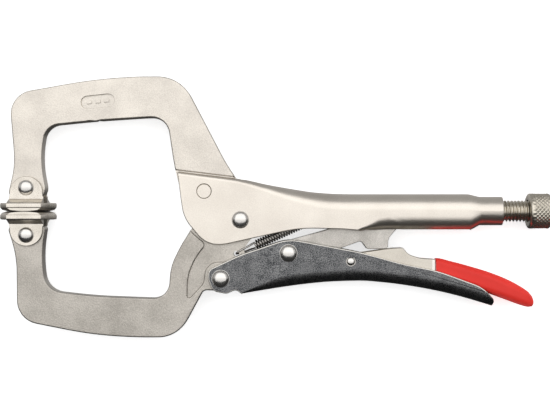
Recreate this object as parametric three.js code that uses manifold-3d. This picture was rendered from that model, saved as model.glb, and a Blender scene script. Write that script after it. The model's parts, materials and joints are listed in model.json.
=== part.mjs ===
// Locking C-clamp pliers, lying on their side: +X to the adjusting knob, +Y to the fixed jaw, +Z up.
// Millimetres. Everything is drawn about the tool's own mid-plane and lifted by halfHeight at the end.
import * as THREE from "three";
import { mergeVertices } from "three/addons/utils/BufferGeometryUtils.js";
import Module from "manifold-3d";

const wasm = await Module();
wasm.setup();

// ---- driving dimensions ----
const halfHeight = 11.7; // mid-plane above the surface the tool lies on
const gap = 0.3; // clearance between pieces that touch

const mainPivot = [-17.6, -6.4];
const handlePivot = [-27.5, -36.2];
const linkPivot = [6.7, -23.3];
const linkEnd = [66, -2.6];
const leverPivot = [38.1, -27.5];
const springHole = [-19.7, -23.8];
const springAnchor = [33.5, 0.2];
const jawPin = [-36, 7.9];

const jawHalf = 4.3; // half-thickness of both jaw forgings
const tangHalf = 3.2; // half-thickness where they enter the fixed handle
const sheet = 2; // fixed handle's sheet
const tubeHalf = 8.4; // half-width of the fixed handle's tube
const frontHalf = tangHalf + gap + sheet;
const channelHalf = 7.4; // half-width of the moving handle
const channelBend = 6.4; // outside radius where its walls turn into its web
const earInner = jawHalf + gap;
const earSheet = 2.2; // moving handle's sheet
const earOuter = earInner + earSheet;
const linkHalf = 3.4;
const linkBoss = 5.6; // radius of the bosses that centre the link in its channel
const leverHalf = 5.1;
const leverSheet = 1.2;
const tailHalf = 3.6; // the lever's tail, under the grip

const screwY = -2.1;
const barrelRadius = 7.25;
const barrelEnd = 115.4;
const screwRadius = 5.4;
const screwTip = 74.2;
const knob = { start: 128.6, end: 140, radius: 9 };

const pad = {
  x: -125.8,
  contactY: -2.2, // where the two pads meet
  radius: 14.2,
  sheet: 1.4,
  pivot: 11.65, // rivet, from the pad's own face
  earCentre: 9,
  earRadius: 8.35,
  earSheet: 1.5,
  width: 17.3,
};
const padFace = earInner + pad.earSheet;
const upperPadPivot = [pad.x, pad.contactY + pad.pivot + gap];
const lowerPadPivot = [pad.x, pad.contactY - pad.pivot - gap];

const rivet = { shank: 3, head: 4.3, rise: 2.5 };
const padRivet = { shank: 3, head: 3.85, rise: 2.1 };
const leverRivet = { shank: 1.6, head: 2.1, rise: 0.9 };
const jawPinRadius = 3.3;
const springPinRadius = 1.2;
// The coil begins at start from the hole and ends at short from the anchor; hooks cover the rest.
const spring = { outer: 2.55, inner: 1.55, wire: 0.5, start: 11.3, short: 7 };

const reach = 12; // half-length of anything that cuts right through the tool

// ---- materials ----
const metal = (name, color, roughness) =>
  new THREE.MeshStandardMaterial({ name, color, roughness, metalness: 1 });
const satinNickel = () => metal("satin_nickel", 0xcfc7bc, 0.42);
const forgedNickel = () => metal("forged_nickel", 0xc8c2b7, 0.48);
const darkNickel = () => metal("dark_nickel", 0x5a5e60, 0.35);
const polishedSteel = () => metal("polished_steel", 0xd8d6d2, 0.12);
const springSteel = () => metal("spring_steel", 0x2c2b2b, 0.4);
const redVinyl = () =>
  new THREE.MeshStandardMaterial({ name: "red_vinyl", color: 0xd8231d, roughness: 0.3, metalness: 0 });

// ---- solids ----
function toSolid(geometry) {
  const bare = geometry.clone();
  bare.deleteAttribute("normal");
  bare.deleteAttribute("uv");
  const merged = mergeVertices(bare, 1e-4);
  return new wasm.Manifold(
    new wasm.Mesh({
      numProp: 3,
      vertProperties: new Float32Array(merged.attributes.position.array),
      triVerts: new Uint32Array(merged.index.array),
    }),
  );
}

function toMesh(name, solid, material) {
  const raw = solid.getMesh();
  const geometry = new THREE.BufferGeometry();
  geometry.setAttribute("position", new THREE.BufferAttribute(new Float32Array(raw.vertProperties), 3));
  geometry.setIndex(new THREE.BufferAttribute(new Uint32Array(raw.triVerts), 1));
  geometry.computeVertexNormals();
  const mesh = new THREE.Mesh(geometry, material);
  mesh.name = name;
  return mesh;
}

// A closed outline from corners [x, y, reach]; reach is how far from the corner its rounding arc starts.
function roundedShape(corners) {
  const shape = new THREE.Shape();
  corners.forEach(([x, y, reach = 0], index) => {
    const corner = new THREE.Vector2(x, y);
    const before = corners[(index + corners.length - 1) % corners.length];
    const after = corners[(index + 1) % corners.length];
    const back = new THREE.Vector2(before[0] - x, before[1] - y).normalize();
    const ahead = new THREE.Vector2(after[0] - x, after[1] - y).normalize();
    const half = Math.acos(THREE.MathUtils.clamp(back.dot(ahead), -1, 1)) / 2;
    if (reach === 0 || half > 1.56) {
      if (index === 0) shape.moveTo(x, y);
      else shape.lineTo(x, y);
      return;
    }
    const centre = back.clone().add(ahead).normalize().multiplyScalar(reach / Math.cos(half)).add(corner);
    const start = back.clone().multiplyScalar(reach).add(corner).sub(centre);
    const end = ahead.clone().multiplyScalar(reach).add(corner).sub(centre);
    const clockwise = back.cross(ahead) > 0;
    if (index === 0) shape.moveTo(centre.x + start.x, centre.y + start.y);
    shape.absarc(centre.x, centre.y, reach * Math.tan(half), start.angle(), end.angle(), clockwise);
  });
  return shape;
}

// A flat plate on an outline, from z low to z high.
function plate(corners, low, high, curveSegments = 8) {
  const geometry = new THREE.ExtrudeGeometry(roundedShape(corners), {
    depth: high - low,
    bevelEnabled: false,
    curveSegments,
  });
  geometry.translate(0, 0, low);
  return toSolid(geometry);
}

function box(low, high) {
  const geometry = new THREE.BoxGeometry(high[0] - low[0], high[1] - low[1], high[2] - low[2]);
  geometry.translate((low[0] + high[0]) / 2, (low[1] + high[1]) / 2, (low[2] + high[2]) / 2);
  return toSolid(geometry);
}

// A round bar along Z, centred on the mid-plane.
function roundBar([x, y], radius, half, sides = 24) {
  const geometry = new THREE.CylinderGeometry(radius, radius, 2 * half, sides);
  geometry.rotateX(Math.PI / 2);
  geometry.translate(x, y, 0);
  return toSolid(geometry);
}

// The hole for a pin of that radius, right through.
const hole = (place, radius, sides = 24) => roundBar(place, radius + gap, reach, sides);

// A turned piece along +X from [x, radius] steps that start and end on the axis.
function turned(steps, y, sides = 28) {
  const profile = steps.map(([x, radius]) => new THREE.Vector2(radius, x));
  const geometry = new THREE.LatheGeometry(profile, sides);
  geometry.rotateZ(-Math.PI / 2);
  geometry.translate(0, y, 0);
  return toSolid(geometry);
}

// One point of a rounded rectangle in the YZ plane; the corners are walked in turn.
const cornerSteps = 4;
const ringPoints = 4 * (cornerSteps + 1);
function ringPoint(station, index) {
  const quarter = Math.floor(index / (cornerSteps + 1));
  const angle = (quarter + (index % (cornerSteps + 1)) / cornerSteps) * (Math.PI / 2);
  const upper = quarter < 2;
  const radius = upper ? station.topRadius : station.bottomRadius;
  const right = quarter === 0 || quarter === 3;
  const z = (right ? 1 : -1) * (station.half - radius) + radius * Math.cos(angle);
  const y = (upper ? station.top - radius : station.bottom + radius) + radius * Math.sin(angle);
  return [y, z];
}

// A body whose rounded-rectangle section changes from station to station, given in order along +X.
function loft(stations) {
  const last = stations.length - 1;
  const geometry = new THREE.CylinderGeometry(1, 1, last, ringPoints, last);
  const position = geometry.attributes.position;
  for (let i = 0; i < position.count; i++) {
    const station = stations[Math.round(last / 2 - position.getY(i))];
    const spoke = Math.hypot(position.getX(i), position.getZ(i));
    const turn = Math.atan2(position.getX(i), position.getZ(i)) / (2 * Math.PI);
    const index = (Math.round(turn * ringPoints) + ringPoints) % ringPoints;
    const [y, z] = ringPoint(station, index);
    const middle = (station.top + station.bottom) / 2;
    position.setXYZ(i, station.x, middle + (y - middle) * spoke, z * spoke);
  }
  return toSolid(geometry);
}

function station(x, top, bottom, half, topRadius, bottomRadius) {
  return { x, top, bottom, half, topRadius, bottomRadius };
}

// ---- jaws ----
function fixedJaw() {
  const body = plate(
    [
      [-135.7, 4.9, 3.4],
      [-131.9, 21.5, 7],
      [-134.9, 57.1, 11],
      [-92, 64.7, 14],
      [-70, 66.15, 6],
      [-48, 66.15, 11.5],
      [-25.2, 22.6, 4],
      [-19.6, 14.2, 1],
      [-21.6, 5.6, 2],
      [-29.4, 1.8, 2],
      [-45.6, -3.4, 1.5],
      [-48.2, 8.8, 4],
      [-51.2, 20.9, 6],
      [-54.9, 45.6, 8],
      [-66, 45.3, 2],
      [-92, 43.6, 10],
      [-116.3, 41.1, 6.5],
      [-118.9, 23.5, 9],
      [-116, 8.6, 2.4],
      [-118, 4.9, 1.6],
    ],
    -jawHalf,
    jawHalf,
  );
  const tang = [[-60, 19.8], [-18, 14.75], [-5, 5], [-5, -20], [-60, -20]];
  return body
    .subtract(plate(tang, tangHalf, reach))
    .subtract(plate(tang, -reach, -tangHalf))
    .subtract(hole(upperPadPivot, padRivet.shank))
    .subtract(hole(jawPin, jawPinRadius))
    .subtract(stampRecess());
}

// The shallow blank capsule on the upper bar.
function stampRecess() {
  const centre = [-89.9, 53.4];
  const tilt = THREE.MathUtils.degToRad(6);
  const geometry = new THREE.ExtrudeGeometry(
    roundedShape([[-8.4, -3.2, 3.1], [8.4, -3.2, 3.1], [8.4, 3.2, 3.1], [-8.4, 3.2, 3.1]]),
    { depth: 3, bevelEnabled: false, curveSegments: 5 },
  );
  geometry.rotateZ(tilt);
  geometry.translate(centre[0], centre[1], jawHalf - 0.5);
  return toSolid(geometry);
}

function movingJaw() {
  const body = plate(
    [
      [-136, -9.3, 3.4],
      [-131.1, -25, 8],
      [-130.8, -57.3, 10],
      [-92, -65, 14],
      [-70, -66.15, 6],
      [-49.3, -66.15, 10],
      [-36.3, -42.2, 2],
      [-31, -42.4, 1],
      [-22, -40, 3],
      [-13.5, -27, 2],
      [-16.3, -21.6, 2],
      [-9, -12, 3],
      [-7.8, -3, 3],
      [-12.6, 2.3, 3],
      [-22.4, 2.2, 3],
      [-42.3, -10.9, 0.8],
      [-47.9, -19.6, 5],
      [-53, -30.2, 5],
      [-54.2, -46.6, 8],
      [-66, -46.2, 2],
      [-92, -45.2, 10],
      [-116.2, -42.4, 8],
      [-118.4, -24, 9],
      [-116.2, -9.3, 2.4],
    ],
    -jawHalf,
    jawHalf,
  );
  const pocket = [
    [-46.4, -6, 2],
    [-43.2, -12.2, 4],
    [-34.9, -19, 2.6],
    [-40.3, -25.6, 4.8],
    [-44.3, -35, 5],
    [-44.6, -47.5, 2.5],
    [-36.3, -38.6, 2],
    [-35.2, -27.8, 6.4],
    [-22, -27.8, 2],
    [-18, -34, 2],
    [-8, -30, 2],
    [0, 0, 2],
    [0, 12, 2],
    [-46, 12, 2],
  ];
  return body
    .subtract(plate(pocket, tangHalf, reach))
    .subtract(plate(pocket, -reach, -tangHalf))
    .subtract(hole(mainPivot, rivet.shank))
    .subtract(hole(handlePivot, rivet.shank))
    .subtract(hole(springHole, springPinRadius, 16))
    .subtract(hole(lowerPadPivot, padRivet.shank));
}

// ---- fixed handle ----
const fixedHandleOutline = [
  [-49.5, 18, 1],
  [-47.6, 3, 3],
  [-46.3, -5.7, 5.6],
  [-34.9, -19.1, 6],
  [-26, -19.1, 2.7],
  [12, -10.7, 9],
  [36, -11.2, 5],
  [66, -12.3, 10],
  [99.5, -12.3, 1.5],
  [103.5, screwY - barrelRadius, 1],
  [barrelEnd, screwY - barrelRadius, 0],
  [barrelEnd, screwY + barrelRadius, 0],
  [104, screwY + barrelRadius, 1.5],
  [99, 6.5, 2],
  [30, 6.5, 12],
  [-15, 13.7, 2],
  [-19, 14.3, 1.5],
];

function fixedHandleBody(wall) {
  const shrink = (radius) => Math.max(radius - wall, 0.3);
  const inset = (x, top, bottom, half, topRadius, bottomRadius) =>
    station(x, top - wall, bottom, half - wall, shrink(topRadius), shrink(bottomRadius));
  const lip = (x, top, bottom, half, topRadius, bottomRadius) =>
    inset(x, top, bottom + wall, half, topRadius, bottomRadius);
  const round = (x) =>
    lip(x, screwY + barrelRadius, screwY - barrelRadius, barrelRadius, barrelRadius, barrelRadius);
  return loft([
    inset(-60, 30, -40, frontHalf, 1, 1),
    inset(-18.2, 30, -40, frontHalf, 1, 1),
    inset(-17.8, 14.3, -40, frontHalf, 2.6, 1),
    inset(-15, 13.7, -40, frontHalf, 3, 1),
    inset(-4, 11.3, -40, frontHalf + 0.4, 4.2, 1),
    inset(8, 9.2, -40, frontHalf + 1.4, 6.6, 1),
    inset(20, 7.4, -40, tubeHalf - 0.6, 7.6, 1),
    inset(30, 6.7, -40, tubeHalf, 8.2, 1),
    lip(40, 6.5, -11.4, tubeHalf, 8.2, 1.6),
    lip(46, 6.5, -11.6, tubeHalf, 8.2, 2.4),
    lip(52, 6.5, -11.9, tubeHalf, 8.2, 6.2),
    lip(60, 6.5, -12.2, tubeHalf, 8.2, 7.6),
    lip(66, 6.5, -12.3, tubeHalf, 8.2, 7.6),
    lip(99, 6.5, -12.3, tubeHalf, 8.2, 7.6),
    round(103.5),
    round(barrelEnd + 5),
  ]);
}

function fixedHandle() {
  const outside = plate(fixedHandleOutline, -reach, reach).intersect(fixedHandleBody(0));
  const barrelStart = 99.5;
  const hollow = fixedHandleBody(sheet).subtract(box([barrelStart, -30, -20], [130, 30, 20]));
  const slotHalf = linkHalf + 3 * gap;
  const slot = box([-60, -40, -slotHalf], [barrelStart, -8, slotHalf]);
  const bore = turned([[90, 0], [90, screwRadius + gap], [130, screwRadius + gap], [130, 0]], screwY);
  return outside
    .subtract(hollow)
    .subtract(slot)
    .subtract(bore)
    .subtract(hole(mainPivot, rivet.shank))
    .subtract(hole(jawPin, jawPinRadius))
    .subtract(hole(springAnchor, springPinRadius, 16));
}

// ---- moving handle ----
const movingHandleOutline = [
  [-34.1, -36.2, 2.2],
  [-33.6, -31.7, 2.2],
  [-18, -24.3, 4],
  [6.6, -16, 6],
  [44.5, -23.1, 8],
  [63.5, -28.5, 6],
  [82, -32.2, 6],
  [104.4, -40.4, 4],
  [110.6, -46.8, 1.5],
  [109.6, -49.9, 0.6],
  [93.7, -45.2, 8],
  [69.4, -40.1, 10],
  [43, -36.9, 14],
  [12, -39.5, 10],
  [-16.9, -43.9, 1],
  [-19.9, -41.8, 1.4],
  [-24.5, -43.9, 1.2],
  [-31.5, -42.6, 2.6],
];

function channelBody(wall) {
  const bend = channelBend - wall;
  const inset = (x, bottom, half) => station(x, 10, bottom + wall, half - wall, 0.5, bend);
  return [
    [-17, -43.8, earOuter],
    [4, -40.7, channelHalf - 0.2],
    [16, -39.1, channelHalf],
    [29, -37.95, channelHalf],
    [43, -37.55, channelHalf],
    [57, -38.6, channelHalf],
    [69.4, -40.3, channelHalf],
    [81.5, -42.5, channelHalf],
    [93.7, -45.4, channelHalf],
    [112, -50.8, channelHalf],
  ].map(([x, bottom, half]) => inset(x, bottom, half));
}

function movingHandle() {
  const ears = box([-50, -60, -earOuter], [-16.9, 0, earOuter]);
  const earGap = box([-60, -60, -earInner], [-16.8, 0, earInner]);
  const outside = plate(movingHandleOutline, -reach, reach).intersect(loft(channelBody(0)).add(ears));
  return outside
    .subtract(loft(channelBody(earSheet)))
    .subtract(earGap)
    .subtract(hole(handlePivot, rivet.shank))
    .subtract(hole(linkPivot, rivet.shank))
    .subtract(hole(leverPivot, leverRivet.shank, 20));
}

// ---- toggle link ----
function toggleLink() {
  const outline = [
    [1, -27.5, 3],
    [2.2, -18.4, 3],
    [8.6, -16.4, 3],
    [26.3, -11.5, 5],
    [62.6, 1.6, 3],
    [70, 0.6, 3],
    [69.8, -5.6, 3],
    [61.5, -11.2, 3],
    [57.4, -16, 2],
    [57.2, -21.3, 1.7],
    [46.6, -21.4, 0.8],
    [43.6, -17.2, 1.6],
    [33.5, -20.9, 3],
    [8.5, -29.7, 4],
  ];
  return plate(outline, -linkHalf, linkHalf)
    .add(roundBar(linkPivot, linkBoss, earInner))
    .subtract(hole(linkPivot, rivet.shank));
}

// ---- release lever and its dipped grip ----
function releaseLever() {
  const outline = [
    [33.6, -30.9, 2],
    [34.4, -24.2, 2.4],
    [41.5, -23.4, 2],
    [58, -21, 3],
    [64.6, -20.6, 0.6],
    [67.4, -24, 1.6],
    [73.4, -26, 2],
    [81.2, -26.5, 0.6],
    [81.2, -28.2, 0.4],
    [103, -33.4, 4],
    [124.5, -43.2, 1.2],
    [124, -46.6, 1.2],
    [103, -39.6, 4],
    [82, -34, 4],
    [60, -32, 6],
  ];
  const underside = [
    [62, -40, 1],
    [62, -22.2, 0.6],
    [64.4, -22.2, 0.4],
    [66.8, -25.3, 1],
    [73, -27.4, 2],
    [78.5, -28, 1],
    [78.5, -40, 0],
  ];
  const wide = plate(outline, -leverHalf, leverHalf);
  const tailTrim = [[81.2, -20], [140, -20], [140, -60], [81.2, -60]];
  const inner = leverHalf - leverSheet;
  return wide
    .subtract(plate([[20, -50], [20, -10], [60.5, -10], [60.5, -50]], -inner, inner))
    .subtract(plate(underside, -inner, inner))
    .subtract(plate(tailTrim, tailHalf, reach))
    .subtract(plate(tailTrim, -reach, -tailHalf))
    .subtract(hole(leverPivot, leverRivet.shank, 20));
}

function leverGrip() {
  const skin = (x, top, bottom, half, radius) => station(x, top, bottom, half, radius, radius);
  const outside = loft([
    skin(81.5, -26.4, -35.4, 4.6, 2),
    skin(82.2, -26.1, -35.8, 4.85, 2.2),
    skin(90, -27.8, -37.8, 4.85, 2.4),
    skin(98, -29.9, -40.2, 4.85, 2.6),
    skin(109.5, -33.4, -44.4, 5.1, 2.8),
    skin(119, -37.3, -47.9, 5.3, 3),
    skin(125, -40.6, -50, 5.2, 3),
    skin(128.6, -43, -50.9, 4.6, 3),
    skin(130.6, -45.3, -50.7, 3.4, 2.4),
    skin(131.4, -47.2, -49.8, 1.6, 1.2),
  ]);
  const cavity = plate(
    [
      [70, -25.3, 0],
      [81.2, -27.9, 0.3],
      [103.2, -33, 4],
      [125, -42.9, 1.2],
      [124.4, -47.1, 1.2],
      [103, -40, 4],
      [82, -34.4, 2],
      [70, -33, 0],
    ],
    -tailHalf - gap,
    tailHalf + gap,
  );
  return outside.subtract(cavity);
}

// ---- swivel pads ----
// Drawn with the contact face on Y = 0 and the ears rising along +Y; side is +1 for upper, -1 for lower.
function swivelPad(side) {
  const rim = pad.radius;
  const dishSection = [
    [0, 0],
    [11.3, 0],
    [13.2, 0.5],
    [14.05, 1.5],
    [rim, 2.6],
    [rim - 0.2, 3.9],
    [rim - 1.4, 3.9],
    [12.6, 2.4],
    [11.2, pad.sheet],
    [0, pad.sheet],
  ];
  const dish = new THREE.LatheGeometry(dishSection.map(([radius, y]) => new THREE.Vector2(radius, y)), 40);
  const trim = halfHeight - 0.5; // the dish is cut off just inside the folded hems
  const trimmed = toSolid(dish).intersect(box([-20, -1, -trim], [20, 20, trim]));

  const earTop = pad.earCentre + pad.earRadius;
  const earRound = pad.earRadius - 0.01;
  const ear = [
    [-pad.earRadius, 5.4, 0],
    [-pad.earRadius, earTop, earRound],
    [pad.earRadius, earTop, earRound],
    [pad.earRadius, 5.4, 0],
  ];
  const hemSection = [
    [earInner, 7.2, 0],
    [padFace, 7.2, 0],
    [padFace, 5.9, 0.3],
    [halfHeight - 0.8, 4.2, 0.4],
    [halfHeight, 3.6, 0.4],
    [halfHeight, 1.4, 0.5],
    [halfHeight - 3, 1.2, 0],
    [halfHeight - 3, 0.8, 0],
    [padFace + 1, 0.8, 0],
    [padFace + 1, 3.4, 0.6],
    [earInner, 3.4, 1],
  ];
  const hem = new THREE.ExtrudeGeometry(roundedShape(hemSection), {
    depth: pad.width,
    bevelEnabled: false,
    curveSegments: 4,
  });
  hem.translate(0, 0, -pad.width / 2);
  hem.rotateY(-Math.PI / 2);
  const front = toSolid(hem).add(plate(ear, earInner, padFace));
  const whole = trimmed
    .add(front)
    .add(front.mirror([0, 0, 1]))
    .subtract(hole([0, pad.pivot], padRivet.shank));
  const turnedOver = side > 0 ? whole : whole.mirror([0, 1, 0]);
  return turnedOver.translate([pad.x, pad.contactY + side * gap, 0]);
}

// ---- rivets and pins ----
// A domed rivet across the tool whose heads bear on faces at z = seat.
function domedRivet([x, y], seat, { shank, head, rise }) {
  const steps = 4;
  const base = seat + gap / 2;
  const dome = Array.from({ length: steps }, (_, i) => {
    const angle = (i / steps) * (Math.PI / 2);
    return [base + rise * Math.sin(angle), head * Math.cos(angle)];
  });
  const upper = [[base, shank], ...dome, [base + rise, 0]];
  const lower = upper.map(([z, radius]) => [-z, radius]).reverse();
  const profile = [...lower, ...upper].map(([z, radius]) => new THREE.Vector2(radius, z));
  const geometry = new THREE.LatheGeometry(profile, 24);
  geometry.rotateX(Math.PI / 2);
  geometry.translate(x, y, 0);
  return toSolid(geometry);
}

// ---- return spring: its outer envelope, hollow, with a plain hook at each end ----
function returnSpring() {
  const along = new THREE.Vector2(springAnchor[0] - springHole[0], springAnchor[1] - springHole[1]);
  const length = along.length();
  const end = length - spring.short;
  const wall = [
    [spring.outer, spring.start],
    [spring.outer, end],
    [spring.inner, end],
    [spring.inner, spring.start],
    [spring.outer, spring.start],
  ];
  const coil = new THREE.LatheGeometry(wall.map(([radius, y]) => new THREE.Vector2(radius, y)), 16);
  const hook = (from, to) => {
    const bar = new THREE.CylinderGeometry(spring.wire, spring.wire, to - from, 8);
    bar.translate(0, (from + to) / 2, (spring.outer + spring.inner) / 2);
    return toSolid(bar);
  };
  return toSolid(coil)
    .add(hook(4.8, spring.start + 1))
    .add(hook(end - 1, length - 2))
    .rotate([0, 0, THREE.MathUtils.radToDeg(along.angle()) - 90])
    .translate([springHole[0], springHole[1], 0]);
}

// ---- adjusting screw and knob ----
function adjustingScrew() {
  const end = knob.end - 3.4;
  const steps = [
    [screwTip, 0],
    [screwTip, 2.6],
    [screwTip + 2.4, screwRadius],
    [end, screwRadius],
    [end, 0],
  ];
  return turned(steps, screwY);
}

function adjustingKnob() {
  const { start, end, radius } = knob;
  const bore = screwRadius + gap;
  return turned(
    [
      [end - 2.9, 0],
      [end - 2.9, bore],
      [start, bore],
      [start, radius - 0.5],
      [start + 0.5, radius],
      [start + 2.2, radius],
      [start + 2.6, radius - 0.5],
      [start + 3, radius],
      [end - 1.3, radius],
      [end, radius - 1.6],
      [end, 0],
    ],
    screwY,
  );
}

// ---- assembly ----
const tool = new THREE.Group();
tool.position.z = halfHeight;
tool.add(
  toMesh("fixed_jaw", fixedJaw(), forgedNickel()),
  toMesh("fixed_handle", fixedHandle(), satinNickel()),
  toMesh("fixed_jaw_pin", roundBar(jawPin, jawPinRadius, frontHalf), satinNickel()),
  toMesh("main_pivot_rivet", domedRivet(mainPivot, frontHalf, rivet), polishedSteel()),
  toMesh("upper_pad_rivet", domedRivet(upperPadPivot, padFace, padRivet), polishedSteel()),
  toMesh("spring_anchor_pin", roundBar(springAnchor, springPinRadius, tubeHalf, 16), satinNickel()),
  toMesh("return_spring", returnSpring(), springSteel()),
  toMesh("adjusting_screw", adjustingScrew(), satinNickel()),
  toMesh("adjusting_knob", adjustingKnob(), satinNickel()),
  toMesh("moving_jaw", movingJaw(), forgedNickel()),
  toMesh("lower_pad_rivet", domedRivet(lowerPadPivot, padFace, padRivet), polishedSteel()),
  toMesh("moving_handle", movingHandle(), darkNickel()),
  toMesh("handle_pivot_rivet", domedRivet(handlePivot, earOuter, rivet), polishedSteel()),
  toMesh("link_pivot_rivet", domedRivet(linkPivot, channelHalf, rivet), polishedSteel()),
  toMesh("lever_pivot_rivet", domedRivet(leverPivot, channelHalf, leverRivet), polishedSteel()),
  toMesh("toggle_link", toggleLink(), satinNickel()),
  toMesh("release_lever", releaseLever(), satinNickel()),
  toMesh("lever_grip", leverGrip(), redVinyl()),
  toMesh("upper_pad", swivelPad(1), satinNickel()),
  toMesh("lower_pad", swivelPad(-1), satinNickel()),
);

export default tool;
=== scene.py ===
import json
import math

import bmesh
import bpy
from mathutils import Matrix, Vector


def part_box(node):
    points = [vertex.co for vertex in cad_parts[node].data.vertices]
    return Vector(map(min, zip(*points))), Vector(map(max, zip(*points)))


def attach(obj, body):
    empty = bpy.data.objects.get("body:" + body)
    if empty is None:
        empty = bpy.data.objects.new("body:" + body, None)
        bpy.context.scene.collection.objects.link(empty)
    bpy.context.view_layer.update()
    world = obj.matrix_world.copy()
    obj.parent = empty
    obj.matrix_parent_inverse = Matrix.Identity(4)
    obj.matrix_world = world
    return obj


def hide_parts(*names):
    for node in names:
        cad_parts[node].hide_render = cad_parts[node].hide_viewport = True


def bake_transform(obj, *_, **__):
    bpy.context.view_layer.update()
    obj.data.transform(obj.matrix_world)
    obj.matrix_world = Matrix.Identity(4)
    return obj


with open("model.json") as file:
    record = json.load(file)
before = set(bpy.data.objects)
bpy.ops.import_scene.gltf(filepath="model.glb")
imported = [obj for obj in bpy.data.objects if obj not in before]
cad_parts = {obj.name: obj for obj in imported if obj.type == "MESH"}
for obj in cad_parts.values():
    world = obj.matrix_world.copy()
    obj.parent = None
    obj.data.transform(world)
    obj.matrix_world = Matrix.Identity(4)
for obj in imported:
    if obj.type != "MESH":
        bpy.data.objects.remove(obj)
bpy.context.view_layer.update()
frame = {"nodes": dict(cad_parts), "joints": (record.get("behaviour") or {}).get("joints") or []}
mm = 0.001
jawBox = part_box("fixed_jaw")
midZ = (jawBox[0].z + jawBox[1].z) / 2  # height of the tool's mid-plane
through = 12  # a cut this far either side of the mid-plane goes right through the tool
print("frame loaded")


def point(x, y, z=0.0):
    # millimetres about the mid-plane, to metres in the frame
    return Vector((x * mm, y * mm, z * mm + midZ))


def pivotOf(jointName):
    joint = next(joint for joint in frame["joints"] if joint["name"] == jointName)
    return joint["pos_m"][0] / mm, joint["pos_m"][1] / mm


def middleOf(nodeName):
    low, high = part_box(nodeName)
    return (low.x + high.x) / 2 / mm, (low.y + high.y) / 2 / mm


mainPivot = pivotOf("jaw_open")
handlePivot = pivotOf("handle_swing")
linkPivot = pivotOf("link_swing")
leverPivot = pivotOf("lever_release")
upperPadPivot = pivotOf("upper_pad_swivel")
lowerPadPivot = pivotOf("lower_pad_swivel")
jawPin = middleOf("fixed_jaw_pin")
springAnchor = middleOf("spring_anchor_pin")
screwY = pivotOf("knob_turn")[1]


class Wire:
    # a socket that can be used in a sum or a product
    def __init__(self, finish, socket):
        self.finish = finish
        self.socket = socket

    def join(self, operation, left, right):
        return self.finish.node("ShaderNodeMath", {"operation": operation}, {0: left, 1: right})

    def __add__(self, other):
        return self.join("ADD", self, other)

    def __radd__(self, other):
        return self.join("ADD", other, self)

    def __mul__(self, other):
        return self.join("MULTIPLY", self, other)

    def __rmul__(self, other):
        return self.join("MULTIPLY", other, self)


class Finish:
    # one material: node() makes any node, from its type, its settings and what its sockets get
    def __init__(self, name):
        self.material = bpy.data.materials.new(name)
        self.material.use_nodes = True
        self.tree = self.material.node_tree
        self.shader = self.tree.nodes["Principled BSDF"]

    def node(self, kind, settings=None, sockets=None, output=0):
        made = self.tree.nodes.new(kind)
        for key, value in (settings or {}).items():
            setattr(made, key, value)
        for key, value in (sockets or {}).items():
            self.plug(made.inputs[key], value)
        return Wire(self, made.outputs[output])

    def plug(self, socket, value):
        if isinstance(value, Wire):
            self.tree.links.new(value.socket, socket)
        else:
            socket.default_value = value

    def noise(self, scale, detail=2.0, roughness=0.5):
        place = self.node("ShaderNodeTexCoord", output="Object")
        sockets = {"Vector": place, "Scale": scale, "Detail": detail, "Roughness": roughness}
        return self.node("ShaderNodeTexNoise", None, sockets)

    def spread(self, value, low, high, toLow=0.0, toHigh=1.0):
        sockets = {"Value": value, "From Min": low, "From Max": high, "To Min": toLow, "To Max": toHigh}
        return self.node("ShaderNodeMapRange", None, sockets)

    def tint(self, factor, first, second):
        return self.node("ShaderNodeMix", {"data_type": "RGBA"}, {0: factor, 6: first, 7: second}, 2)

    def bump(self, height, depth):
        return self.node("ShaderNodeBump", None, {"Height": height, "Distance": depth})

    def use(self, **values):
        for key, value in values.items():
            self.plug(self.shader.inputs[key.replace("_", " ")], value)
        return self.material


def shade(red, green, blue):
    return (red, green, blue, 1.0)


# nickel over a blasted or rolled surface: "grain" and "clouds" are how many per metre
platings = {
    "forged": {"grain": 1900, "clouds": 70, "rough": 0.40, "depth": 0.00011,
               "dark": shade(0.55, 0.51, 0.46), "light": shade(0.74, 0.69, 0.62)},
    # a darker copy of the forged finish, used on the lower jaw
    "forgedLower": {"grain": 1900, "clouds": 70, "rough": 0.40, "depth": 0.00013,
                    "dark": shade(0.36, 0.335, 0.30), "light": shade(0.56, 0.525, 0.475)},
    "handle": {"grain": 2400, "clouds": 50, "rough": 0.33, "depth": 0.00004,
               "dark": shade(0.62, 0.57, 0.51), "light": shade(0.74, 0.69, 0.62)},
    "link": {"grain": 2000, "clouds": 120, "rough": 0.38, "depth": 0.00012,
             "dark": shade(0.36, 0.34, 0.31), "light": shade(0.60, 0.57, 0.53)},
    "lever": {"grain": 2400, "clouds": 80, "rough": 0.36, "depth": 0.00004,
              "dark": shade(0.52, 0.48, 0.42), "light": shade(0.64, 0.60, 0.53)},
    "pad": {"grain": 2400, "clouds": 120, "rough": 0.30, "depth": 0.00003,
            "dark": shade(0.54, 0.50, 0.44), "light": shade(0.74, 0.69, 0.62)},
    # brighter metal: a painted highlight on the moving handle's edge faces, and the real bare band on the
    # lever in front of the grip
    "bareBandAndEdgeHighlight": {"grain": 2400, "clouds": 80, "rough": 0.30, "depth": 0.00002,
                "dark": shade(0.66, 0.63, 0.58), "light": shade(0.80, 0.77, 0.72)},
    "screw": {"grain": 2200, "clouds": 200, "rough": 0.28, "depth": 0.00002,
              "dark": shade(0.44, 0.40, 0.33), "light": shade(0.66, 0.61, 0.53)},
}


def platedSteel(name, plating):
    finish = Finish(name)
    grain = finish.noise(plating["grain"], 3.0, 0.6)
    clouds = finish.noise(plating["clouds"])
    tone = finish.spread(grain * 0.6 + clouds * 0.4, 0.38, 0.62)
    return finish.use(
        Base_Color=finish.tint(tone, plating["dark"], plating["light"]),
        Metallic=1.0,
        Roughness=finish.spread(grain, 0.3, 0.7, plating["rough"] - 0.05, plating["rough"] + 0.06),
        Normal=finish.bump(grain, plating["depth"]),
    )


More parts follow.
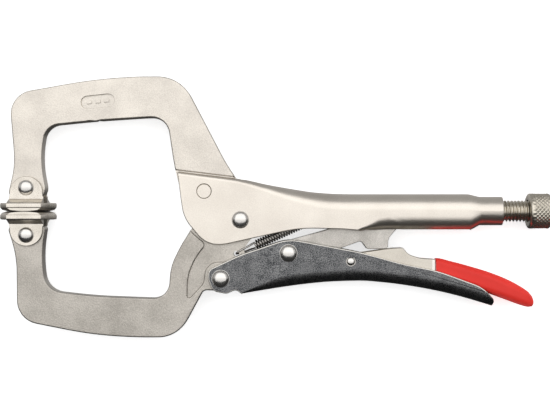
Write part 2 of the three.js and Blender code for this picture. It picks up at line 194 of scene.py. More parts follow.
def smokedNickel():
    # dark plate over a mottled surface: specks about half a millimetre across
    finish = Finish("smokedNickel")
    specks = finish.noise(2100, 4.0, 0.75)
    clouds = finish.noise(160)
    tone = finish.spread(specks * 0.85 + clouds * 0.15, 0.42, 0.62)
    return finish.use(
        Base_Color=finish.tint(tone, shade(0.03, 0.032, 0.036), shade(0.30, 0.30, 0.30)),
        Metallic=1.0,
        Roughness=finish.spread(specks, 0.3, 0.7, 0.30, 0.46),
        Normal=finish.bump(specks, 0.00005),
    )


def polishedSteel():
    finish = Finish("polishedSteel")
    haze = finish.noise(400)
    return finish.use(
        Base_Color=finish.tint(haze, shade(0.60, 0.58, 0.55), shade(0.72, 0.70, 0.67)),
        Metallic=1.0,
        Roughness=finish.spread(haze, 0.3, 0.7, 0.20, 0.28),
    )


def springWire():
    finish = Finish("springWire")
    haze = finish.noise(900)
    return finish.use(
        Base_Color=finish.tint(haze, shade(0.22, 0.21, 0.20), shade(0.62, 0.59, 0.55)),
        Metallic=1.0,
        Roughness=finish.spread(haze, 0.3, 0.7, 0.22, 0.38),
    )


def dippedVinyl():
    # soft glossy skin, slightly uneven where it ran before it set
    finish = Finish("dippedVinyl")
    runs = finish.noise(90)
    fine = finish.noise(900)
    return finish.use(
        Base_Color=finish.tint(runs, shade(0.80, 0.030, 0.022), shade(0.92, 0.045, 0.032)),
        Roughness=finish.spread(fine, 0.3, 0.7, 0.44, 0.54),
        Specular_IOR_Level=0.3,
        Normal=finish.bump(runs * 0.7 + fine * 0.3, 0.00012),
    )


finishes = {name: platedSteel(name + "Nickel", plating) for name, plating in platings.items()}
finishes["smoked"] = smokedNickel()
finishes["polished"] = polishedSteel()
finishes["spring"] = springWire()
finishes["vinyl"] = dippedVinyl()
print("finishes made")


def rounded(corners, steps=10):
    # corners are (x, y, reach): reach is how far from the corner its arc starts
    outline = []
    for index, (x, y, reach) in enumerate(corners):
        corner = Vector((x, y))
        back = (Vector(corners[index - 1][:2]) - corner).normalized()
        ahead = (Vector(corners[(index + 1) % len(corners)][:2]) - corner).normalized()
        half = math.acos(max(-1.0, min(1.0, back.dot(ahead)))) / 2
        if reach == 0 or half > 1.56:
            outline.append(corner)
            continue
        centre = corner + (back + ahead).normalized() * (reach / math.cos(half))
        start = corner + back * reach - centre
        turn = math.copysign(math.pi - 2 * half, ahead.x * back.y - ahead.y * back.x)
        for step in range(steps + 1):
            outline.append(centre + Matrix.Rotation(turn * step / steps, 2) @ start)
    return outline


def plate(corners, low, high, steps=10):
    bm = bmesh.new()
    face = bm.faces.new([bm.verts.new(point(x, y, low)) for x, y in rounded(corners, steps)])
    raised = bmesh.ops.extrude_face_region(bm, geom=[face])
    moved = [item for item in raised["geom"] if isinstance(item, bmesh.types.BMVert)]
    bmesh.ops.translate(bm, vec=(0, 0, (high - low) * mm), verts=moved)
    bmesh.ops.recalc_face_normals(bm, faces=bm.faces)
    return bm


def bar(place, radius, low, high, sides=48):
    # a round bar across the tool
    bm = bmesh.new()
    bmesh.ops.create_cone(
        bm, cap_ends=True, segments=sides, radius1=radius * mm, radius2=radius * mm, depth=(high - low) * mm,
        matrix=Matrix.Translation(point(*place, (low + high) / 2)),
    )
    return bm


def block(low, high):
    bm = bmesh.new()
    size = Vector(high) - Vector(low)
    centre = (Vector(high) + Vector(low)) / 2
    bmesh.ops.create_cube(bm, size=1, matrix=Matrix.LocRotScale(point(*centre), None, size * mm))
    return bm


def newObject(name, bm):
    mesh = bpy.data.meshes.new(name)
    bm.to_mesh(mesh)
    bm.free()
    made = bpy.data.objects.new(name, mesh)
    bpy.context.scene.collection.objects.link(made)
    return made


def tidied(bm, flat=0.25):
    # merge what a cut leaves behind, and make each flat one face again
    bmesh.ops.remove_doubles(bm, verts=bm.verts, dist=0.02 * mm)
    bmesh.ops.dissolve_degenerate(bm, edges=bm.edges, dist=0.02 * mm)
    limit = math.radians(flat)
    bmesh.ops.dissolve_limit(
        bm, angle_limit=limit, use_dissolve_boundaries=False, verts=bm.verts, edges=bm.edges
    )
    return bm


def carved(base, *steps):
    # steps are (operation, bmesh) pairs, done in turn
    piece = newObject("carving", base)
    spent = [piece]
    for operation, bm in steps:
        tool = newObject("tool", bm)
        spent.append(tool)
        modifier = piece.modifiers.new(operation, "BOOLEAN")
        modifier.operation = operation
        modifier.solver = "EXACT"
        modifier.object = tool
    bpy.context.view_layer.update()
    evaluated = piece.evaluated_get(bpy.context.evaluated_depsgraph_get())
    result = bmesh.new()
    result.from_mesh(evaluated.to_mesh())
    evaluated.to_mesh_clear()
    for used in spent:
        bpy.data.objects.remove(used)
    return tidied(result)


def cadCopy(nodeName):
    # a merged copy of a design solid
    bm = bmesh.new()
    bm.from_mesh(frame["nodes"][nodeName].data)
    return tidied(bm)


def softened(bm, width, segments=3, degrees=30.0, where=None):
    # round off the sharp edges, or those of them that where() picks
    limit = math.radians(degrees)
    sharp = [edge for edge in bm.edges if len(edge.link_faces) == 2 and edge.calc_face_angle(0.0) > limit]
    if where:
        sharp = [edge for edge in sharp if where(edge)]
    bmesh.ops.bevel(
        bm, geom=sharp, offset=width * mm, offset_type="OFFSET", segments=segments, profile=0.5,
        affect="EDGES", clamp_overlap=False, material=-1,
    )
    return bm


def outward(edge, level):
    # on the outside of the tool, beyond that height either side of the mid-plane
    return all(abs(vert.co.z - midZ) > level * mm for vert in edge.verts)


def rimAt(level, kept=None):
    # picks the outward edges that lie at that height either side, apart from those kept() holds back
    def picked(edge):
        flat = all(abs(abs(vert.co.z - midZ) - level * mm) < 0.02 * mm for vert in edge.verts)
        return flat and edge.is_convex and not (kept and kept(edge))
    return picked


def turned(profile, axis, centre, steps=64):
    # profile is (along, radius), and both its ends lie on the axis
    line = Vector([float(letter == axis) for letter in "XYZ"])
    side = line.yzx
    bm = bmesh.new()
    spots = [bm.verts.new(centre + (line * along + side * radius) * mm) for along, radius in profile]
    edges = [bm.edges.new(pair) for pair in zip(spots, spots[1:])]
    bmesh.ops.spin(
        bm, geom=spots + edges, cent=centre, axis=line, angle=2 * math.pi, steps=steps, use_merge=True
    )
    bmesh.ops.remove_doubles(bm, verts=bm.verts, dist=0.001 * mm)
    bmesh.ops.recalc_face_normals(bm, faces=bm.faces)
    return bm


def arc(centre, radius, start, end, steps=6):
    # points of an arc as (along, across) pairs; angles are in degrees
    angles = [math.radians(start + (end - start) * step / steps) for step in range(steps + 1)]
    return [(centre[0] + radius * math.cos(angle), centre[1] + radius * math.sin(angle)) for angle in angles]


def section(x, top, bottom, half, topRound, bottomRound, steps):
    # a rounded rectangle across the tool, walked corner by corner
    spots = []
    for quarter in range(4):
        radius = topRound if quarter < 2 else bottomRound
        level = top - radius if quarter < 2 else bottom + radius
        side = 1 if quarter in (0, 3) else -1
        for step in range(steps + 1):
            angle = (quarter + step / steps) * math.pi / 2
            offset = side * (half - radius) + radius * math.cos(angle)
            spots.append(point(x, level + radius * math.sin(angle), offset))
    return spots


def flowing(rows, spacing):
    # sections in between the given ones, on a curve that never overshoots them
    columns = list(zip(*rows))
    xs = columns[0]
    rates = []
    for column in columns:
        steep = [(column[i + 1] - column[i]) / (xs[i + 1] - xs[i]) for i in range(len(xs) - 1)]
        middle = [2 * a * b / (a + b) if a * b > 0 else 0.0 for a, b in zip(steep, steep[1:])]
        rates.append([steep[0], *middle, steep[-1]])
    fine = []
    for index in range(len(xs) - 1):
        gap = xs[index + 1] - xs[index]
        count = max(1, round(gap / spacing))
        for step in range(count):
            t = step / count
            share = t * t * (3 - 2 * t)
            leave = t * (1 - t) ** 2 * gap
            arrive = t * t * (t - 1) * gap
            fine.append([
                column[index] * (1 - share) + column[index + 1] * share
                + rate[index] * leave + rate[index + 1] * arrive
                for column, rate in zip(columns, rates)
            ])
    return fine + [list(rows[-1])]


def lofted(rows, spacing=2.5, steps=8):
    # a skin over a row of sections along X, with both ends closed
    bm = bmesh.new()
    loops = []
    for row in flowing(rows, spacing):
        spots = section(*row, steps)
        ring = bmesh.ops.create_circle(bm, segments=len(spots), radius=1)["verts"]
        for vert, spot in zip(ring, spots):
            vert.co = spot
        loops.append([bm.edges.get((ring[i - 1], ring[i])) for i in range(len(ring))])
    for first, second in zip(loops, loops[1:]):
        bmesh.ops.bridge_loops(bm, edges=first + second)
    bmesh.ops.holes_fill(bm, edges=loops[0] + loops[-1], sides=0)
    bmesh.ops.recalc_face_normals(bm, faces=bm.faces)
    return bm


def wireAlong(bm, path, radius, sides=8):
    # a round wire through the points of path, closed at both ends
    loops = []
    last = len(path) - 1
    for index, spot in enumerate(path):
        ahead = (path[min(index + 1, last)] - path[max(index - 1, 0)]).normalized()
        if index == 0:
            turn = Vector((0, 0, 1)).rotation_difference(ahead)
        else:
            turn = before.rotation_difference(ahead) @ turn
        before = ahead
        ring = bmesh.ops.create_circle(
            bm, segments=sides, radius=radius * mm, matrix=Matrix.LocRotScale(spot, turn, None)
        )["verts"]
        loops.append([bm.edges.get((ring[i - 1], ring[i])) for i in range(sides)])
    for first, second in zip(loops, loops[1:]):
        bmesh.ops.bridge_loops(bm, edges=first + second)
    bmesh.ops.holes_fill(bm, edges=loops[0] + loops[-1], sides=0)
    bmesh.ops.recalc_face_normals(bm, faces=bm.faces)
    return bm


def finished(name, bm, body, slotName, finishName, *stoodFor, degrees=32.0, second=None):
    # the usual end of a piece; body None leaves it attached to no body
    made = newObject(name, bm)
    for polygon in made.data.polygons:
        polygon.use_smooth = True
    made.data.set_sharp_from_angle(angle=math.radians(degrees))
    made.data.materials.append(finishes[finishName])
    if second:
        made.data.materials.append(finishes[second])
    weighted = made.modifiers.new("weighted", "WEIGHTED_NORMAL")
    weighted.keep_sharp = True
    if body:
        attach(made, body)
    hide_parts(*stoodFor)
    return made


# jaws
jaws = {"half": 4.3, "edge": 0.75, "edgeSteps": 4, "recessEdge": 0.25}
recess = {
    "centre": (-89.9, 53.4), "tilt": 6.0, "floor": 3.2, "half": (8.5, 3.3), "round": 3.2, "clear": 10.0,
    "bars": (-4.4, 0.0, 4.4), "bar": (2.6, 1.5, 0.6), "barSunk": 0.05, "barEdge": 0.12, "cutTop": 8,
}


def makeFixedJaw():
    # plain raised bars stand in the capsule, in place of any mark
    middle = Vector(recess["centre"])
    lean = Matrix.Rotation(math.radians(recess["tilt"]), 2)
    long, wide = recess["half"]
    corners = [middle + lean @ Vector((x * long, y * wide)) for x, y in ((-1, -1), (1, -1), (1, 1), (-1, 1))]
    capsule = plate([(*corner, recess["round"]) for corner in corners], recess["floor"], recess["cutTop"])
    body = carved(cadCopy("fixed_jaw"), ("DIFFERENCE", capsule))

    def aroundRecess(edge):
        return (edge.verts[0].co.xy / mm - middle).length < recess["clear"]

    bm = softened(body, jaws["edge"], jaws["edgeSteps"], where=rimAt(jaws["half"], aroundRecess))
    softened(bm, jaws["recessEdge"], 2, where=lambda edge: aroundRecess(edge) and rimAt(jaws["half"])(edge))
    length, width, height = recess["bar"]
    turn = Matrix.Rotation(math.radians(recess["tilt"]), 3, "Z")
    for along in recess["bars"]:
        level = recess["floor"] + height / 2 - recess["barSunk"]
        spot = Vector((*recess["centre"], level)) + turn @ Vector((along, 0, 0))
        size = Vector((length, width, height)) * mm
        made = bmesh.ops.create_cube(bm, size=1, matrix=Matrix.LocRotScale(point(*spot), turn, size))
        edges = {edge for vert in made["verts"] for edge in vert.link_edges}
        bmesh.ops.bevel(
            bm, geom=list(edges), offset=recess["barEdge"] * mm, segments=2, profile=0.5,
            affect="EDGES", material=-1,
        )
    return finished("fixedJawForging", bm, "frame", "forged_nickel", "forged", "fixed_jaw")


def makeMovingJaw():
    bm = softened(cadCopy("moving_jaw"), jaws["edge"], jaws["edgeSteps"], where=rimAt(jaws["half"]))
    return finished("movingJawForging", bm, "lower_jaw", "forged_nickel", "forgedLower", "moving_jaw")


makeFixedJaw()
makeMovingJaw()
print("jaws made")

# fixed handle: a sheet folded over the jaw's root in front, closing to a tube behind
# each section is x, top, bottom, half-width, top rounding, bottom rounding
fixedHandle = {
    "outline": [
        (-49.5, 18, 1), (-47.6, 3, 3), (-46.3, -5.7, 5.6), (-34.9, -19.1, 6), (-26, -19.1, 2.7),
        (12, -10.7, 9), (36, -11.2, 5), (50, -12.9, 2), (122, -13.5, 0), (122, 20, 0), (-19, 20, 0),
    ],
    "sections": [
        (-52, 18.3, -24, 5.5, 2.0, 1), (-36, 16.35, -24, 5.5, 2.1, 1), (-19, 14.3, -24, 5.5, 2.5, 1),
        (-15, 13.7, -24, 5.5, 3, 1), (-4, 11.3, -24, 5.9, 4.2, 1), (8, 9.2, -24, 6.9, 6.6, 1),
        (20, 7.4, -22, 7.8, 7.6, 1), (30, 6.7, -20, 8.4, 8.2, 1), (40, 6.5, -13.5, 8.4, 8.2, 1.6),
        (46, 6.5, -11.6, 8.4, 8.2, 2.4), (52, 6.5, -11.9, 8.4, 8.2, 6.2), (60, 6.5, -12.2, 8.4, 8.2, 7.6),
        (66, 6.5, -12.3, 8.4, 8.2, 7.6), (98.5, 6.5, -12.3, 8.4, 8.2, 7.6),
        (104, 5.15, -9.35, 7.25, 7.2, 7.2), (115.4, 5.15, -9.35, 7.25, 7.2, 7.2),
    ],
    "sheet": 2.0,
    "leastBend": 0.3,
    "foldEnd": -18,  # in front of this the fold is open above
    "openTop": 30,
    "tubeStart": 36,  # behind this the sheet closes underneath too
    "tubeEnd": 99.5,
    "slot": 4.3,
    "slotTop": -8,
    "bore": 5.7,
    "boreStart": 90,
    "flareStart": 115,
    "flare": 2,
    "rivetHole": 3.3,
    "pinHole": 3.6,
    "front": 5.0,
    "edge": 0.5,
}


def makeFixedHandle():
    style = fixedHandle
    sheet, slot = style["sheet"], style["slot"]
    inner = []
    for x, top, bottom, half, topRound, bottomRound in style["sections"][:-2]:
        floor = bottom + sheet if x > style["tubeStart"] else bottom
        rounds = [max(bend - sheet, style["leastBend"]) for bend in (topRound, bottomRound)]
        inner.append((x, top - sheet, floor, half - sheet, *rounds))
    inner[-1] = (style["tubeEnd"], *inner[-1][1:])
    inner[0] = (inner[0][0] - 4, *inner[0][1:])
    foldEnd, openTop = style["foldEnd"], style["openTop"]
    inner = [(x, openTop if x < foldEnd else top, *rest) for x, top, *rest in inner]
    boreStart, flareStart, bore, flare = (style[key] for key in ("boreStart", "flareStart", "bore", "flare"))
    mouth = flareStart + flare
    hollow = [(boreStart, 0), (boreStart, bore), (flareStart, bore), (mouth, bore + flare), (mouth, 0)]
    bm = carved(
        lofted(style["sections"]),
        ("INTERSECT", plate(style["outline"], -through, through)),
        ("DIFFERENCE", lofted(inner, 4.0, 6)),
        ("DIFFERENCE", block((-60, -40, -slot), (style["tubeEnd"], style["slotTop"], slot))),
        ("DIFFERENCE", turned(hollow, "X", point(0, screwY), 48)),
        ("DIFFERENCE", bar(mainPivot, style["rivetHole"], -through, through)),
        ("DIFFERENCE", bar(jawPin, style["pinHole"], -through, through)),
    )
    softened(bm, style["edge"], 3, 50, where=lambda edge: edge.is_convex and outward(edge, style["front"]))
    return finished("fixedHandleShell", bm, "frame", "satin_nickel", "handle", "fixed_handle")


makeFixedHandle()
print("fixed handle made")

# moving handle: a channel open towards the fixed handle, with two bare ears in front
movingHandle = {
    "outline": [
        (-34.1, -36.2, 2.2), (-33.6, -31.7, 2.2), (-18, -24.3, 4), (6.6, -16, 6), (44.5, -23.1, 8),
        (63.5, -28.5, 6), (82, -32.2, 6), (104.4, -40.4, 4), (110.6, -46.8, 1.5), (109.6, -52, 0),
        (-17.2, -52, 0), (-16.9, -43.9, 1), (-19.9, -41.8, 1.4), (-24.5, -43.9, 1.2), (-31.5, -42.6, 2.6),
    ],
    "sections": [
        (-17, -43.8, 6.8, 0.6), (-9, -42.6, 6.95, 3.2), (4, -40.7, 7.2, 6.2), (16, -39.1, 7.4, 6.4),
        (29, -37.95, 7.4, 6.4), (43, -37.55, 7.4, 6.4), (57, -38.6, 7.4, 6.4), (69.4, -40.3, 7.4, 6.4),
        (81.5, -42.5, 7.4, 6.4), (93.7, -45.4, 7.4, 6.4), (112, -50.8, 7.4, 6.4),
    ],
    "sheet": 2.2,
    "leastBend": 0.3,
    "top": -5,
    "innerEnd": 116,
    "ears": (4.6, 6.8),  # inner, outer
    "earEnds": (-16.8, -16.9),
    "earBottom": -43.88,
    "rivetHole": 3.3,
    "leverHole": 1.9,
    "bendStart": -16.5,
    "front": 6.2,
    "edge": 0.5,
    "flatSide": 0.97,  # a face whose normal is more upright than this is a side of the channel
    "facesDown": -0.2,
}


def makeMovingHandle():
    style = movingHandle
    sheet = style["sheet"]
    earInner, earOuter = style["ears"]
    innerEnd, outerEnd = style["earEnds"]
    top = style["top"]
    outer = [(x, top, bottom, half, 0.5, bend) for x, bottom, half, bend in style["sections"]]
    inner = [
        (x, top + 3, bottom + sheet, half - sheet, 0.3, max(bend - sheet, style["leastBend"]))
        for x, bottom, half, bend in style["sections"]
    ]
    inner[-1] = (style["innerEnd"], *inner[-1][1:])
    bm = carved(
        lofted(outer, 4.0),
        ("UNION", block((-50, style["earBottom"], -earOuter), (outerEnd, top, earOuter))),
        ("INTERSECT", plate(style["outline"], -through, through)),
        ("DIFFERENCE", lofted(inner, 4.0)),
        ("DIFFERENCE", block((-60, -62, -earInner), (innerEnd, 0, earInner))),
        ("DIFFERENCE", bar(handlePivot, style["rivetHole"], -through, through)),
        ("DIFFERENCE", bar(linkPivot, style["rivetHole"], -through, through)),
        ("DIFFERENCE", bar(leverPivot, style["leverHole"], -through, through)),
    )
    softened(bm, style["edge"], 3, 50, where=lambda edge: edge.is_convex and outward(edge, style["front"]))
    # painted highlight: the sheet's edge faces get a brighter metal, all round but for the bend underneath
    for face in bm.faces:
        spot = face.calc_center_median()
        outside = abs(spot.z - midZ) > (earInner - 0.1) * mm
        underneath = face.normal.y < style["facesDown"] and spot.x > style["bendStart"] * mm
        if outside and abs(face.normal.z) < style["flatSide"] and not underneath:
            face.material_index = 1
    return finished("movingHandleChannel", bm, "lower_handle", "dark_nickel", "smoked", "moving_handle",
                    second="bareBandAndEdgeHighlight")


makeMovingHandle()
print("moving handle made")

linkwork = {"linkEdge": 0.45, "linkSide": 3.4, "leverEdge": 0.6, "leverSide": 5.1, "bareBand": 79.4}
link = softened(cadCopy("toggle_link"), linkwork["linkEdge"], 2, 50, where=rimAt(linkwork["linkSide"]))
finished("toggleLinkPlate", link, "toggle", "link_steel", "link", "toggle_link")
lever = softened(cadCopy("release_lever"), linkwork["leverEdge"], 3, 50, where=rimAt(linkwork["leverSide"]))
bandStart = point(linkwork["bareBand"], 0)
bmesh.ops.bisect_plane(
    lever, geom=[*lever.verts, *lever.edges, *lever.faces], plane_co=bandStart, plane_no=(1, 0, 0)
)
for face in lever.faces:
    if face.calc_center_median().x > bandStart.x:
        face.material_index = 1
finished("releaseLeverPressing", lever, "lever", "link_steel", "lever", "release_lever", second="bareBandAndEdgeHighlight")

# dipped grip: x, top, bottom, half-width, top rounding, bottom rounding
grip = {
    "sections": [
        (81.5, -26.4, -35.4, 4.6, 2, 2), (82.2, -26.1, -35.8, 4.85, 2.3, 2.3),
        (90, -27.8, -37.8, 4.85, 3.2, 3.2), (98, -29.9, -40.2, 4.85, 3.4, 3.4),
        (109.5, -33.4, -44.4, 5.1, 3.8, 3.8), (119, -37.3, -47.9, 5.3, 4.0, 4.0),
        (125, -40.6, -50, 5.2, 3.9, 3.9), (128.6, -43, -50.9, 4.6, 3.6, 3.6),
        (130.6, -45.3, -50.7, 3.4, 2.6, 2.6), (131.4, -47.2, -49.8, 1.6, 1.25, 1.25),
    ],
    "cavity": [
        (70, -25.3, 0), (81.2, -27.9, 0.3), (103.2, -33, 4), (125, -42.9, 1.2),
        (124.4, -47.1, 1.2), (103, -40, 4), (82, -34.4, 2), (70, -33, 0),
    ],
    "cavityHalf": 3.8,
}
gripSkin = carved(
    lofted(grip["sections"], 1.5),
    ("DIFFERENCE", plate(grip["cavity"], -grip["cavityHalf"], grip["cavityHalf"])),
)
finished("dippedGrip", gripSkin, "lever", "red_vinyl", "vinyl", "lever_grip", degrees=50)
print("linkage and grip made")

# rivets: seat is the face the head sits on; collar is a thin skirt that staking leaves round the head
largeRivet = {"shank": 3.0, "head": 4.3, "rise": 2.5, "collar": 0.2}
smallRivet = {"shank": 1.6, "head": 2.0, "rise": 1.0, "collar": 0.1}
padRivet = {"shank": 3.0, "head": 3.85, "rise": 2.1, "collar": 0.15}
rivets = {
    "main_pivot_rivet": {"body": "frame", "at": mainPivot, "seat": 5.55, **largeRivet},
    "handle_pivot_rivet": {"body": "lower_handle", "at": handlePivot, "seat": 6.85, **largeRivet},
    "link_pivot_rivet": {"body": "lower_handle", "at": linkPivot, "seat": 7.45, **largeRivet},
    "lever_pivot_rivet": {"body": "lower_handle", "at": leverPivot, "seat": 7.45, **smallRivet},
    "upper_pad_rivet": {"body": "frame", "at": upperPadPivot, "seat": 6.15, **padRivet},
    "lower_pad_rivet": {"body": "lower_jaw", "at": lowerPadPivot, "seat": 6.15, **padRivet},
}
collarRise, collarFace, collarTaper = 0.14, 0.1, 0.05
domeSteps, domeFullness = 10, 0.9
for nodeName, rivet in rivets.items():
    seat, head, rise = rivet["seat"], rivet["head"], rivet["rise"]
    skirt = head + rivet["collar"]
    half = [
        (seat, rivet["shank"]), (seat, skirt), (seat + collarFace, skirt - collarTaper),
        (seat + collarRise, head),
    ]
    for step in range(1, domeSteps + 1):
        angle = math.radians(90 / domeSteps * step)
        radius = head * math.cos(angle) ** domeFullness if step < domeSteps else 0
        half.append((seat + collarRise + (rise - collarRise) * math.sin(angle), radius))
    profile = [(-z, r) for z, r in reversed(half)] + half
    words = nodeName.split("_")
    name = words[0] + "".join(word.capitalize() for word in words[1:])
    bm = turned(profile, "Z", point(*rivet["at"]), 48)
    finished(name, bm, rivet["body"], "polished_steel", "polished", nodeName)

pin = {"radius": 3.55, "face": 5.5, "chamfer": 0.15}
pinProfile = [
    (pin["face"], 0), (pin["face"], pin["radius"] - pin["chamfer"]),
    (pin["face"] - pin["chamfer"], pin["radius"]),
]
pinProfile += [(-z, r) for z, r in reversed(pinProfile)]
finished("fixedJawPin", turned(pinProfile, "Z", point(*jawPin)), "frame", "satin_nickel",
         "handle", "fixed_jaw_pin")
anchorPin = {"radius": 1.2, "half": 8.0}
anchorProfile = [(anchorPin["half"], 0), (anchorPin["half"], anchorPin["radius"])]
anchorProfile += [(-z, r) for z, r in reversed(anchorProfile)]
finished("springAnchorPin", turned(anchorProfile, "Z", point(*springAnchor), 24), "frame", "satin_nickel",
         "handle", "spring_anchor_pin")
print("rivets and pins made")

# return spring: one wire, a long hook through the jaw's hole, the coil, and a short hook at the anchor
spring = {
    "hole": (-19.7, -23.8), "wire": 0.5, "coil": 2.05, "start": 10.6, "short": 6.0, "pitch": 1.35,
    "perTurn": 20, "firstAngle": 50,
}


def makeReturnSpring():
    along = Vector(springAnchor) - Vector(spring["hole"])
    length = along.length
    along.normalize()
    aside = Vector((-along.y, along.x))

    def spot(s, t, z):
        place = Vector(spring["hole"]) + along * s + aside * t
        return point(place.x, place.y, z)

    path = [
        spot(9.9, -1.3, -1.5), spot(7.2, -1.0, -3.2), spot(4.4, -0.9, -3.95), spot(1.3, -0.6, -4.0),
        spot(0.25, -0.3, -3.4), spot(0, 0, -2), spot(0, 0, 2), spot(0.25, 0.3, 3.4), spot(1.3, 0.6, 4.0),
        spot(4.4, 0.9, 3.95), spot(7.2, 1.0, 3.2), spot(9.4, 1.3, 2.0),
    ]
    end = length - spring["short"]
    turns = (end - spring["start"]) / spring["pitch"]
    count = round(turns * spring["perTurn"])
    for step in range(count + 1):
        angle = math.radians(spring["firstAngle"]) + 2 * math.pi * turns * step / count
        s = spring["start"] + (end - spring["start"]) * step / count
        path.append(spot(s, spring["coil"] * math.cos(angle), spring["coil"] * math.sin(angle)))
    path += [
        spot(end + 1.6, 0, 1.4), spot(length - 1.4, 0, 1.2), spot(length + 1.2, 0, 0.4),
        spot(length + 1.7, 0.4, -0.6),
    ]
    made = finished("returnSpringCoil", wireAlong(bmesh.new(), path, spring["wire"]), None, "spring_steel",
                    "spring", "return_spring", degrees=60)
    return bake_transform(made, "frame", "lower_jaw", start=spot(length, 0, 0), end=spot(0, 0, 0))


makeReturnSpring()
print("spring made")

# adjusting screw: a rolled thread along its whole length
screw = {"tip": 74.2, "end": 131.5, "outer": 5.4, "root": 4.55, "pitch": 1.75, "perTurn": 36}


def makeAdjustingScrew():
    pitch, outer, root = screw["pitch"], screw["outer"], screw["root"]
    form = [(0, root), (0.12, root), (0.42, outer), (0.58, outer), (0.88, root), (1, root)]
    bm = bmesh.new()
    start = screw["tip"] - 2 * pitch
    spots = [bm.verts.new(point(start + share * pitch, screwY + radius)) for share, radius in form]
    edges = [bm.edges.new(pair) for pair in zip(spots, spots[1:])]
    turns = math.ceil((screw["end"] - start) / pitch) + 1
    steps = turns * screw["perTurn"]
    bmesh.ops.spin(
        bm, geom=spots + edges, cent=point(0, screwY), axis=(1, 0, 0), angle=2 * math.pi * turns,
        dvec=Vector((pitch * turns * mm / steps, 0, 0)), steps=steps,
    )
    bmesh.ops.remove_doubles(bm, verts=bm.verts, dist=0.004 * mm)
    for x, side in ((screw["tip"], -1), (screw["end"], 1)):
        bmesh.ops.bisect_plane(
            bm, geom=[*bm.verts, *bm.edges, *bm.faces], plane_co=point(x, 0), plane_no=(side, 0, 0),
            clear_outer=True,
        )
    bmesh.ops.holes_fill(bm, edges=bm.edges, sides=0)
    bmesh.ops.recalc_face_normals(bm, faces=bm.faces)
    return finished("adjustingScrewThread", bm, "screw", "screw_steel", "screw", "adjusting_screw",
                    degrees=40)


makeAdjustingScrew()

knob = {
    "start": 128.6, "end": 139.9, "radius": 9.0, "bore": 5.7, "floor": 137.1, "corner": 1.3,
    "knurlStart": 131.2, "knurlEnd": 138.2, "knurlDepth": 0.5, "starts": 28, "diamond": 2.0,
    "around": 280, "rows": 56, "slack": 0.01, "skin": 0.2,
}


def makeKnob():
    start, end, radius = knob["start"], knob["end"], knob["radius"]
    low, high = knob["knurlStart"], knob["knurlEnd"]
    profile = [(knob["floor"], 0), (knob["floor"], knob["bore"]), (start, knob["bore"])]
    corner = knob["corner"]
    profile += arc((start + corner, radius - corner), corner, 180, 90)
    profile += [(low + (high - low) * row / knob["rows"], radius) for row in range(knob["rows"] + 1)]
    profile += arc((end - corner, radius - corner), corner, 80, 0) + [(end, 0)]
    bm = turned(profile, "X", point(0, screwY), knob["around"])
    for vert in bm.verts:
        x = vert.co.x / mm
        spoke = Vector((0, vert.co.y - screwY * mm, vert.co.z - midZ))
        inBand = low - knob["slack"] <= x <= high + knob["slack"]
        if inBand and spoke.length > (radius - knob["skin"]) * mm:
            around = math.atan2(spoke.z, spoke.y) / (2 * math.pi) * knob["starts"]
            along = (x - low) / knob["diamond"]
            heights = [abs((around + side * along) % 1 - 0.5) * 2 for side in (1, -1)]
            vert.co -= spoke.normalized() * knob["knurlDepth"] * max(heights) * mm
    return finished("knurledKnob", bm, "knob", "screw_steel", "screw", "adjusting_knob", degrees=70)


makeKnob()
print("screw and knob made")

# swivel pads: a pressed dish with two ears folded up from it; drawn with its face on y = 0
pads = {
    "rise": 11.65,  # from the pad's face to its rivet
    "dish": [
        (-0.27, 0), (-0.27, 10.6), (0.4, 13.1), (1.5, 14.05), (2.6, 14.2), (3.7, 14.05), (3.9, 13.6),
        (3.7, 13.1), (2.4, 12.6), (1.4, 11.2), (1.4, 0),
    ],
    "trim": 11.2,
    "width": 17.3,
    "ear": (8.35, 5.4, 17.35),  # half-width, foot, top
    "earInner": 4.6,
    "earFace": 6.1,
    "hem": [
        (4.6, 7.2, 0), (6.1, 7.2, 0), (6.1, 5.9, 0.3), (10.9, 4.2, 0.4), (11.7, 3.6, 0.4), (11.7, 1.4, 0.5),
        (8.7, 1.2, 0), (8.7, 0.8, 0), (7.1, 0.8, 0), (7.1, 3.4, 0.6), (4.6, 3.4, 1),
    ],
    "hole": 3.3,
    "edge": 0.35,
}


def makePad(name, body, pivot, side, nodeName):
    centreX, faceY = pivot[0], pivot[1] - side * pads["rise"]
    bm = turned([(y * side, r) for y, r in pads["dish"]], "Y", point(centreX, faceY), 72)
    steps = [("INTERSECT", block((-200, -60, -pads["trim"]), (-60, 60, pads["trim"])))]
    half, foot, top = pads["ear"]
    crown = half - 0.05  # just short of a half circle
    ear = [(-half, foot, 0), (-half, top, crown), (half, top, crown), (half, foot, 0)]
    ear = [(centreX + x, faceY + side * y, reach) for x, y, reach in ear]
    for front in (1, -1):
        low, high = sorted((front * pads["earInner"], front * pads["earFace"]))
        earPlate = softened(plate(ear, low, high, 16), pads["edge"], 3, 50)
        fold = bmesh.new()
        startX = centreX - pads["width"] / 2
        spots = [
            fold.verts.new(point(startX, faceY + side * y, front * z)) for z, y in rounded(pads["hem"], 8)
        ]
        raised = bmesh.ops.extrude_face_region(fold, geom=[fold.faces.new(spots)])
        moved = [item for item in raised["geom"] if isinstance(item, bmesh.types.BMVert)]
        bmesh.ops.translate(fold, vec=(pads["width"] * mm, 0, 0), verts=moved)
        bmesh.ops.recalc_face_normals(fold, faces=fold.faces)
        steps += [("UNION", earPlate), ("UNION", fold)]
    steps.append(("DIFFERENCE", bar(pivot, pads["hole"], -20, 20)))
    return finished(name, carved(bm, *steps), body, "pad_nickel", "pad", nodeName)


makePad("upperPadPressing", "upper_swivel", upperPadPivot, 1, "upper_pad")
makePad("lowerPadPressing", "lower_swivel", lowerPadPivot, -1, "lower_pad")
print("pads made")

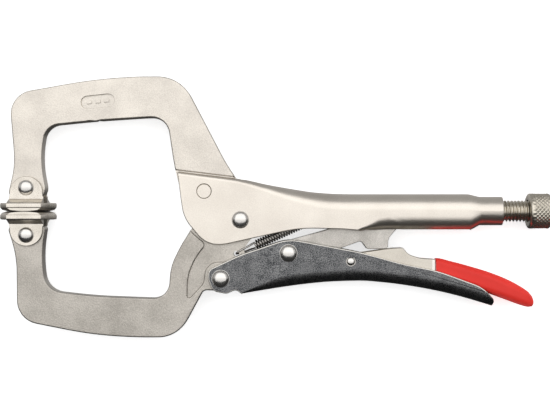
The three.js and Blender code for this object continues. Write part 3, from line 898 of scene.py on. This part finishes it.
studio = {
    "cameraHeight": 0.580,  # above the mid-plane
    "cameraAside": (-0.0001, 0.0002),
    "lens": 74.44,
    "sensor": 36.0,
    "floorSize": 6.0,
    "floorGlow": 0.62,
    "boxAt": (0.0, 0.75, 1.5),
    "boxSize": (3.4, 2.8),
    "boxPower": 32.0,
    "room": ((0.0, 0.04), (0.44, 0.05), (0.56, 0.62), (1.0, 0.42)),  # from the near side to the far side
}


def makeStudio():
    camera = bpy.data.objects.new("camera", bpy.data.cameras.new("camera"))
    camera.data.sensor_width = studio["sensor"]
    camera.data.lens = studio["lens"]
    camera.data.clip_start = 0.01
    camera.location = (*studio["cameraAside"], midZ + studio["cameraHeight"])
    bpy.context.scene.collection.objects.link(camera)
    bpy.context.scene.camera = camera

    bm = bmesh.new()
    bmesh.ops.create_grid(bm, x_segments=1, y_segments=1, size=studio["floorSize"])
    floor = newObject("floor", bm)
    paint = Finish("paleFloor")
    glow = studio["floorGlow"]
    floor.data.materials.append(paint.use(
        Base_Color=shade(0.92, 0.92, 0.92), Roughness=0.9,
        Emission_Color=shade(1, 1, 1), Emission_Strength=glow,
    ))
    floor.visible_glossy = False  # the metal mirrors the room instead

    lamp = bpy.data.lights.new("softbox", "AREA")
    lamp.shape = "RECTANGLE"
    lamp.size, lamp.size_y = studio["boxSize"]
    lamp.energy = studio["boxPower"]
    box = bpy.data.objects.new("softbox", lamp)
    box.location = studio["boxAt"]
    bpy.context.scene.collection.objects.link(box)

    world = bpy.data.worlds.new("room")
    bpy.context.scene.world = world
    world.use_nodes = True
    nodes, links = world.node_tree.nodes, world.node_tree.links
    direction = nodes.new("ShaderNodeTexCoord")
    split = nodes.new("ShaderNodeSeparateXYZ")
    across = nodes.new("ShaderNodeMapRange")
    across.inputs["From Min"].default_value = -1.0
    ramp = nodes.new("ShaderNodeValToRGB")
    for index, (place, level) in enumerate(studio["room"]):
        stop = ramp.color_ramp.elements[index] if index < 2 else ramp.color_ramp.elements.new(place)
        stop.position = place
        stop.color = shade(level, level, level)
    links.new(direction.outputs["Generated"], split.inputs[0])
    links.new(split.outputs["Y"], across.inputs["Value"])
    links.new(across.outputs[0], ramp.inputs[0])
    links.new(ramp.outputs[0], nodes["Background"].inputs["Color"])
    bpy.context.scene.view_settings.view_transform = "Standard"


makeStudio()
print("studio made")
